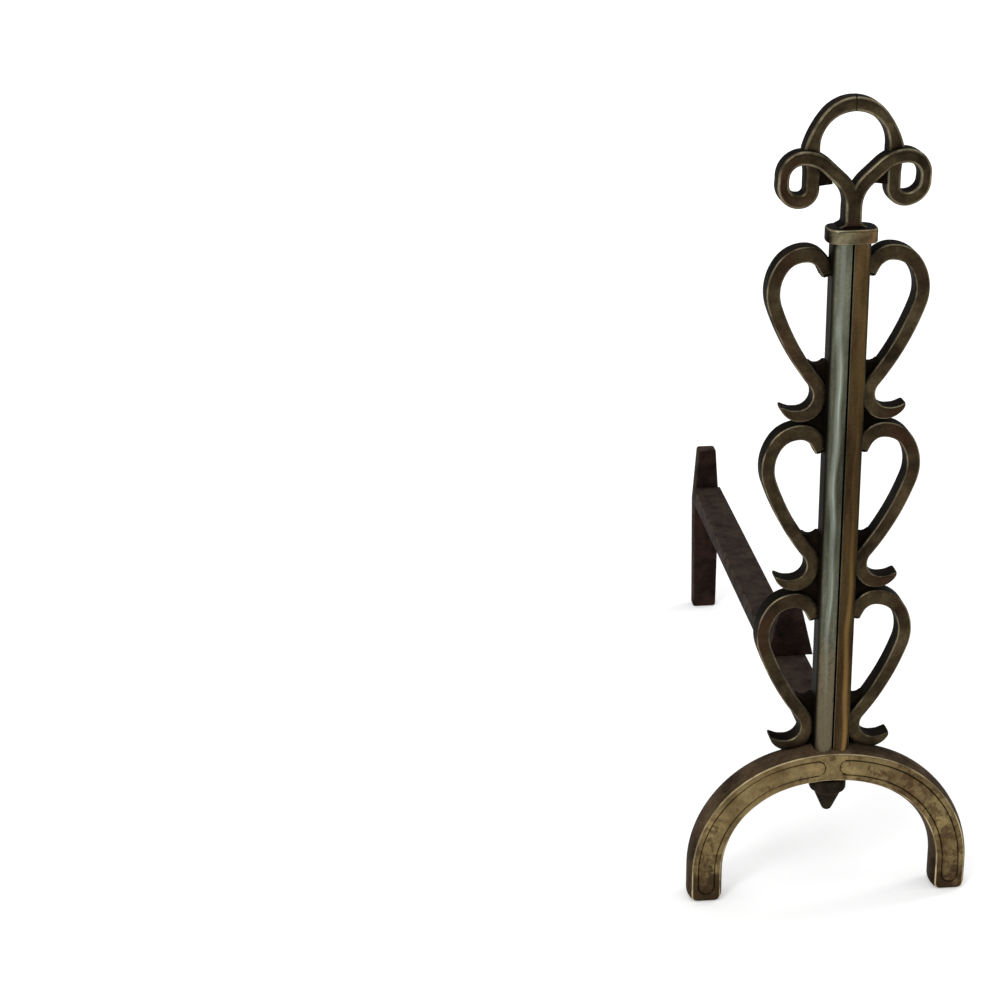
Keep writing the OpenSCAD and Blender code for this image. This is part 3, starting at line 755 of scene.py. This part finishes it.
def nuts(material):
    """The round nut and the drop-shaped one, turned about the tie rod's line."""
    def place(a, b, t):
        return (a, FRONT + ROD_Y + b, t)

    lathe("collar", [(NUT_R - 1.6, NUT_BOTTOM, 0.2), (NUT_R - 0.5, NUT_BOTTOM + 0.4, 1),
                     (NUT_R, NUT_BOTTOM + 1.4, 0.4), (NUT_R, NUT_TOP - 1, 0),
                     (NUT_R - 0.6, NUT_TOP, 0.3)], place, "round_nut", "scroll_metal", material)
    rim_z = NUT_BOTTOM - DROP_NECK
    profile = []
    slope = math.atan2(rim_z - DROP_TIP - DROP_TIP_R, DROP_R)
    for a in np.linspace(-90, math.degrees(slope) - 70, 9):
        r, z = polar(DROP_TIP_R, a)
        profile.append((r, DROP_TIP + DROP_TIP_R + z, 0.4))
    profile += [(DROP_R - 0.7, rim_z - 1, 0.3), (DROP_R - 0.1, rim_z, 1),
                (DROP_R, rim_z + 0.5, 0.6), (DROP_R, NUT_BOTTOM, 0)]
    lathe("drop", profile, place, "drop_nut", "scroll_metal", material)


def tie_rod(material):
    """The hidden rod keeps its CAD mesh."""
    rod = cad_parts["tie_rod"].data
    rod.materials.clear()
    rod.materials.append(material)


# ---- materials -------------------------------------------------------------------


def linear(red, green, blue):
    """An sRGB colour from 0 to 255 as linear values."""
    out = []
    for value in (red, green, blue):
        v = value / 255
        out.append(v / 12.92 if v <= 0.04045 else ((v + 0.055) / 1.055) ** 2.4)
    return (*out, 1)


# Where the colours of a mottled finish, from dark to light, lie in its noise.
MOTTLE_STOPS = (0.34, 0.5, 0.66)
SIDE_STOPS = (0.36, 0.64)
# Fine specks make the finish darker and lighter between these.
SPECK_STOPS = [(0.3, (0.66, 0.66, 0.66, 1)), (0.7, (1.25, 1.25, 1.25, 1))]
DIRT = linear(14, 10, 8)
SPECULAR_TINT = (0.45, 0.43, 0.4, 1)
# Height of the fine relief, in metres.
RELIEF = 0.0006


class Tree:
    """Short names for building the nodes of a material or a world."""

    def __init__(self, owner, shader="Principled BSDF"):
        owner.use_nodes = True
        self.nodes = owner.node_tree.nodes
        self.links = owner.node_tree.links
        self.shader = self.nodes[shader]

    def link(self, source, target):
        self.links.new(source, target)

    def noise(self, scale, detail=6, roughness=0.6, stretch=(1, 1, 1)):
        """Noise from 0 to 1 that sticks to the object."""
        place = self.nodes.new("ShaderNodeTexCoord")
        mapping = self.nodes.new("ShaderNodeMapping")
        mapping.inputs["Scale"].default_value = stretch
        noise = self.nodes.new("ShaderNodeTexNoise")
        noise.inputs["Scale"].default_value = scale
        noise.inputs["Detail"].default_value = detail
        noise.inputs["Roughness"].default_value = roughness
        self.link(place.outputs["Object"], mapping.inputs["Vector"])
        self.link(mapping.outputs["Vector"], noise.inputs["Vector"])
        return noise.outputs["Fac"]

    def ramp(self, source, stops):
        """stops are (position, colour) pairs."""
        ramp = self.nodes.new("ShaderNodeValToRGB")
        band = ramp.color_ramp.elements
        while len(band) < len(stops):
            band.new(0.5)
        for element, (position, colour) in zip(band, stops):
            element.position = position
            element.color = colour
        self.link(source, ramp.inputs["Fac"])
        return ramp.outputs["Color"]

    def span(self, source, low, high, to_low=0.0, to_high=1.0):
        """Maps low to high onto to_low to to_high, and stays there beyond."""
        node = self.nodes.new("ShaderNodeMapRange")
        for name, value in (("From Min", low), ("From Max", high),
                            ("To Min", to_low), ("To Max", to_high)):
            node.inputs[name].default_value = value
        self.link(source, node.inputs["Value"])
        return node.outputs["Result"]

    def math(self, operation, a, b):
        node = self.nodes.new("ShaderNodeMath")
        node.operation = operation
        for socket, value in zip(node.inputs, (a, b)):
            if isinstance(value, (int, float)):
                socket.default_value = value
            else:
                self.link(value, socket)
        return node.outputs["Value"]

    def mix(self, factor, a, b, blend="MIX"):
        node = self.nodes.new("ShaderNodeMix")
        node.data_type = "RGBA"
        node.blend_type = blend
        for name, value in (("Factor_Float", factor), ("A_Color", a), ("B_Color", b)):
            socket = next(s for s in node.inputs if s.identifier == name)
            if isinstance(value, (int, float, tuple)):
                socket.default_value = value
            else:
                self.link(value, socket)
        return next(s for s in node.outputs if s.identifier == "Result_Color")

    def along(self, axis, kind="Object"):
        """A coordinate along X, Y or Z, for an object in metres."""
        place = self.nodes.new("ShaderNodeTexCoord")
        parts = self.nodes.new("ShaderNodeSeparateXYZ")
        self.link(place.outputs[kind], parts.inputs["Vector"])
        return parts.outputs[axis]

    def attribute(self, name):
        """One of the values that piece() stores in a mesh."""
        node = self.nodes.new("ShaderNodeAttribute")
        node.attribute_name = name
        return node.outputs["Fac"]

    def bump(self, height, strength, distance):
        """Fine relief in the surface."""
        node = self.nodes.new("ShaderNodeBump")
        node.inputs["Strength"].default_value = strength
        node.inputs["Distance"].default_value = distance
        self.link(height, node.inputs["Height"])
        self.link(node.outputs["Normal"], self.shader.inputs["Normal"])


def forged(name, metallic, roughness, patches, front, side, worn_and_sheen, stretch=(1, 1, 1),
           right=None, worn_and_sheen_right=None, split=(0.0006, 0.0012), stain=None, spots=None,
           foot=None, wear_and_sheen=0.8, bright_breakup_low=0.15, grain=0.25, gloss=0.015):
    """Forged metal: a mottled polished front, sides and back whose colours are partly their
    finish and partly painted light and shade, fine grain, and brighter metal on the worn edges
    and in painted highlights. front and right are dark, middle and light colours, side is a
    dark and a light one. right and worn_and_sheen_right take over to the right of the middle
    plane, between the distances in split. stain is a second colour in wide patches and spots
    one in small ones. foot is a colour of the low part and the heights between which it ends.
    bright_breakup_low is how much of its wear and sheen the least marked place shows, and gloss
    how much the sides shine."""
    material = bpy.data.materials.new(name)
    t = Tree(material)
    # The polished front.
    mottle = t.noise(patches, detail=9, roughness=0.66, stretch=stretch)
    polished = t.ramp(mottle, list(zip(MOTTLE_STOPS, front)))
    if foot:
        colour, start, end = foot
        low = t.span(t.along("Z"), start, end, 0.14, -0.22)
        speckle = t.math("MULTIPLY", t.noise(130, detail=8, roughness=0.7), 0.55)
        wide = t.math("MULTIPLY", t.noise(26, detail=6, roughness=0.7), 0.45)
        low = t.math("ADD", low, t.math("ADD", speckle, wide))
        polished = t.mix(t.span(low, 0.49, 0.57, 0, 0.85), polished, colour)
    if right:
        half = t.math("MULTIPLY", t.span(t.along("X"), *split),
                      t.span(t.attribute("front"), BACK_FRONT_SHARE, 1))
        polished = t.mix(half, polished, t.ramp(mottle, list(zip(MOTTLE_STOPS, right))))
        worn_and_sheen = t.mix(half, worn_and_sheen, worn_and_sheen_right)
    if stain:
        wide = t.span(t.noise(patches * 0.45, detail=7, roughness=0.7), 0.5, 0.62, 0, 0.75)
        polished = t.mix(wide, polished, stain)
    if spots:
        small = t.math("ADD", t.noise(150, detail=8, roughness=0.7),
                       t.span(t.noise(22, detail=3), 0.4, 0.6, -0.06, 0.06))
        polished = t.mix(t.span(small, 0.53, 0.6, 0, 0.7), polished, spots)
    # The sides and back, their colours partly painted light and shade, and the specks all over.
    shadowed = t.ramp(mottle, list(zip(SIDE_STOPS, side)))
    base = t.mix(t.attribute("front"), shadowed, polished)
    specks = t.ramp(t.noise(520, detail=3), SPECK_STOPS)
    base = t.mix(0.5, base, specks, "MULTIPLY")
    # Bright metal on the worn edges and in the painted highlights, and dirt in the grooves.
    mark = t.attribute("wear_and_sheen")
    bright_breakup = t.span(t.noise(70, detail=6, stretch=stretch), 0.4, 0.6, bright_breakup_low, 1)
    bright_marks = t.math("MULTIPLY", t.span(mark, 0.42, 1.0, 0, wear_and_sheen), bright_breakup)
    base = t.mix(bright_marks, base, worn_and_sheen)
    filled = t.math("MULTIPLY", t.span(mark, -0.15, -0.95),
                    t.span(t.noise(60, detail=4), 0.4, 0.55, 0.55, 1))
    base = t.mix(filled, base, DIRT)
    t.link(base, t.shader.inputs["Base Color"])
    # Gloss and relief.
    bare = t.math("MAXIMUM", t.attribute("front"), bright_marks)
    t.link(t.span(bare, 0, 1, 0, metallic), t.shader.inputs["Metallic"])
    t.shader.inputs["Specular IOR Level"].default_value = gloss
    t.shader.inputs["Specular Tint"].default_value = SPECULAR_TINT
    rough = t.math("ADD", t.span(mottle, 0.3, 0.7, roughness + 0.1, roughness - 0.07),
                   t.span(bare, 0, 1, 0.2, 0))
    t.link(rough, t.shader.inputs["Roughness"])
    dents = t.noise(160, detail=5)
    pits = t.math("MULTIPLY", t.noise(900, detail=2), 0.25)
    t.bump(t.math("ADD", dents, pits), grain, RELIEF)
    return material


def materials():
    """Every material by name."""
    # Side colours: blackened metal, partly its own colour and partly painted shade.
    blackened_and_shaded = [linear(13, 11, 8), linear(30, 25, 19)]
    return {
        "arch_metal": forged(
            "warm_patina", metallic=0.92, roughness=0.36, patches=34,
            front=[linear(84, 68, 44), linear(116, 100, 68), linear(142, 124, 84)],
            side=[linear(34, 27, 21), linear(84, 68, 52)],
            worn_and_sheen=linear(212, 194, 152), wear_and_sheen=0.95, bright_breakup_low=0.3,
            stain=linear(92, 68, 44), spots=linear(70, 52, 36),
            foot=(linear(44, 31, 24), 0, 0.065)),
        # Its worn_and_sheen colours also paint the highlight bands down the reeds, golden on the
        # right reed.
        "bright_metal": forged(
            "grey_patina", metallic=0.92, roughness=0.3, patches=30, stretch=(1.6, 1.6, 0.25),
            front=[linear(56, 55, 44), linear(86, 87, 73), linear(112, 113, 97)],
            right=[linear(46, 34, 21), linear(70, 55, 34), linear(92, 74, 46)],
            side=blackened_and_shaded, worn_and_sheen=linear(178, 188, 174), worn_and_sheen_right=linear(146, 114, 66),
            wear_and_sheen=0.95, bright_breakup_low=0.6, grain=0.18, foot=(linear(104, 94, 74), 0.13, 0.26)),
        "cap_metal": forged(
            "cap_patina", metallic=0.92, roughness=0.28, patches=60, grain=0.18,
            front=[linear(70, 64, 48), linear(102, 96, 74), linear(128, 120, 94)],
            right=[linear(74, 56, 38), linear(110, 86, 58), linear(138, 112, 80)],
            side=blackened_and_shaded, worn_and_sheen=linear(196, 184, 150), worn_and_sheen_right=linear(210, 170, 120),
            split=(-0.004, 0.012)),
        "scroll_metal": forged(
            "dark_patina", metallic=0.9, roughness=0.38, patches=40,
            front=[linear(35, 28, 20), linear(57, 48, 34), linear(80, 69, 49)],
            side=blackened_and_shaded, worn_and_sheen=linear(158, 146, 118), stain=linear(57, 37, 27)),
        # On the black iron the fronts are painted darker as shade and the tops lighter as
        # painted light from above.
        "black_iron": forged(
            "fire_scale", metallic=0.3, roughness=0.6, patches=70, grain=0.5, gloss=0.08,
            front=[linear(22, 15, 14), linear(36, 25, 22), linear(50, 36, 31)],
            side=[linear(36, 28, 24), linear(60, 49, 42)],
            worn_and_sheen=linear(92, 80, 68), wear_and_sheen=0.45, stain=linear(54, 36, 30)),
        "dark_metal": forged(
            "blackened_patina", metallic=0.6, roughness=0.45, patches=50,
            front=[linear(22, 19, 15), linear(38, 33, 26), linear(56, 49, 38)],
            side=blackened_and_shaded, worn_and_sheen=linear(96, 86, 68), wear_and_sheen=0.5),
        # The braze's near-black colours are partly its own dull colour and partly painted shade
        # of the recesses it fills.
        "braze": forged(
            "dull_braze", metallic=0.4, roughness=0.6, patches=60, grain=0.4,
            front=[linear(18, 14, 10), linear(26, 20, 14), linear(38, 30, 21)],
            side=[linear(15, 11, 8), linear(30, 24, 17)], worn_and_sheen=linear(60, 50, 36)),
    }


# ---- stage, lamps and camera -------------------------------------------------------

FLOOR_REACH = 6.0
# How bright the studio is on the object, and its back and front in reflections.
SKY = 0.6
BACK_ROOM = 0.5
FRONT_ROOM = 0.28
# The part of the floor's white that does not depend on the light that reaches it, near
# the object and far out, and the distances between which it rises.
FLOOR_LIFT = 0.27
FAR_LIFT = 0.6
LIFT_FROM = 1.0
LIFT_TO = 3.5


def lamp(name, location, target, size, power):
    """A soft box that faces the target."""
    light = bpy.data.lights.new(name, "AREA")
    light.shape = "RECTANGLE"
    light.size, light.size_y = size
    light.energy = power
    obj = bpy.data.objects.new(name, light)
    obj.location = location
    aim = Vector(target) - Vector(location)
    obj.rotation_euler = aim.to_track_quat("-Z", "Y").to_euler()
    bpy.context.scene.collection.objects.link(obj)


def by_ray(t, strengths):
    """A value that depends on the kind of ray; strengths are by the ray's name."""
    path = t.nodes.new("ShaderNodeLightPath")
    total = 0.0
    for ray, strength in strengths.items():
        total = t.math("MAXIMUM", total, t.math("MULTIPLY", path.outputs[ray], strength))
    return total


def stage():
    """A white floor that keeps the object's shadow, under a white studio sky."""
    mesh = bpy.data.meshes.new("floor")
    far = FLOOR_REACH
    mesh.from_pydata([(-far, -far, 0), (far, -far, 0), (far, far, 0), (-far, far, 0)], [],
                     [(0, 1, 2, 3)])
    floor = bpy.data.objects.new("floor", mesh)
    bpy.context.scene.collection.objects.link(floor)
    floor_look(mesh)
    world_look()
    # Places and sizes in metres, power in watts.
    lamp("key", (-3.6, -4.7, 5.14), (0, -0.2, 0.28), (1.2, 4.2), 144)
    lamp("rim", (4.5, 1.6, 3.9), (0, -0.2, 0.3), (1.2, 3.6), 72)
    lamp("top", (0.0, -0.4, 6.3), (0, -0.1, 0), (3.6, 3.6), 72)


def floor_look(mesh):
    """White, and lifted a little where it is seen directly, more so far away."""
    material = bpy.data.materials.new("pale_floor")
    t = Tree(material)
    for name, value in (("Base Color", (0.9, 0.9, 0.9, 1)), ("Roughness", 0.9),
                        ("Specular IOR Level", 0.1), ("Emission Color", (1, 1, 1, 1))):
        t.shader.inputs[name].default_value = value
    place = t.nodes.new("ShaderNodeTexCoord")
    away = t.nodes.new("ShaderNodeVectorMath")
    away.operation = "LENGTH"
    t.link(place.outputs["Object"], away.inputs[0])
    lift = t.span(away.outputs["Value"], LIFT_FROM, LIFT_TO, FLOOR_LIFT, FAR_LIFT)
    lift = by_ray(t, {"Is Camera Ray": lift, "Is Glossy Ray": lift,
                      "Is Transmission Ray": lift})
    t.link(lift, t.shader.inputs["Emission Strength"])
    mesh.materials.append(material)


def world_look():
    """White to the camera; in reflections white behind the object and dim before it."""
    world = bpy.data.worlds.new("studio")
    bpy.context.scene.world = world
    t = Tree(world, "Background")
    room = t.span(t.along("Y", "Generated"), -0.1, 0.8, FRONT_ROOM, BACK_ROOM)
    strength = by_ray(t, {"Is Camera Ray": 1, "Is Transmission Ray": 1, "Is Glossy Ray": room,
                          "Is Diffuse Ray": SKY})
    t.link(strength, t.shader.inputs["Strength"])
    t.shader.inputs["Color"].default_value = (1, 1, 1, 1)


# The photograph's view: focal length in pixels of its width, and the camera's place and
# turn beside this andiron, which stands a little turned from the camera's own axis.
PHOTO_WIDTH = 994
FOCAL_PX = 2200
CAMERA_MM = (-280.95, -1319.94, 789.9)
HEADING = 2.44
PITCH = 20.32
ROLL = -0.87
OBJECT_TURN = 1.787


def camera():
    """The photograph's camera, moved into the frame of this andiron."""
    data = bpy.data.cameras.new("camera")
    data.sensor_fit = "HORIZONTAL"
    data.sensor_width = 36
    data.lens = FOCAL_PX / PHOTO_WIDTH * data.sensor_width
    data.clip_end = 50
    turn = math.radians(OBJECT_TURN)
    x, y, z = CAMERA_MM
    place = Vector((x * math.cos(turn) + y * math.sin(turn),
                    -x * math.sin(turn) + y * math.cos(turn) + FRONT, z)) * MM
    heading = math.radians(HEADING + OBJECT_TURN)
    pitch, roll = math.radians(PITCH), math.radians(ROLL)
    forward = Vector((math.sin(heading) * math.cos(pitch),
                      math.cos(heading) * math.cos(pitch), -math.sin(pitch)))
    level = Vector((math.cos(heading), -math.sin(heading), 0))
    right = math.cos(roll) * level + math.sin(roll) * level.cross(forward)
    up = right.cross(forward)
    obj = bpy.data.objects.new("camera", data)
    obj.matrix_world = Matrix((
        (right.x, up.x, -forward.x, place.x),
        (right.y, up.y, -forward.y, place.y),
        (right.z, up.z, -forward.z, place.z),
        (0, 0, 0, 1)))
    bpy.context.scene.collection.objects.link(obj)
    bpy.context.scene.camera = obj


# ---- scene -----------------------------------------------------------------------


def main():
    """Builds every piece and then the stage and the camera."""
    looks = materials()
    arch_base(looks["arch_metal"])
    upright(looks["bright_metal"])
    cap(looks["cap_metal"])
    scrolls(looks["scroll_metal"])
    for side in ("left", "right"):
        finial(side, looks["scroll_metal"])
        braze(side, looks["braze"])
    log_bar(looks["black_iron"])
    log_stop(looks["black_iron"])
    rear_post(looks["black_iron"])
    nuts(looks["dark_metal"])
    tie_rod(looks["scroll_metal"])
    stage()
    camera()
    bpy.context.scene.view_settings.view_transform = "Standard"


main()
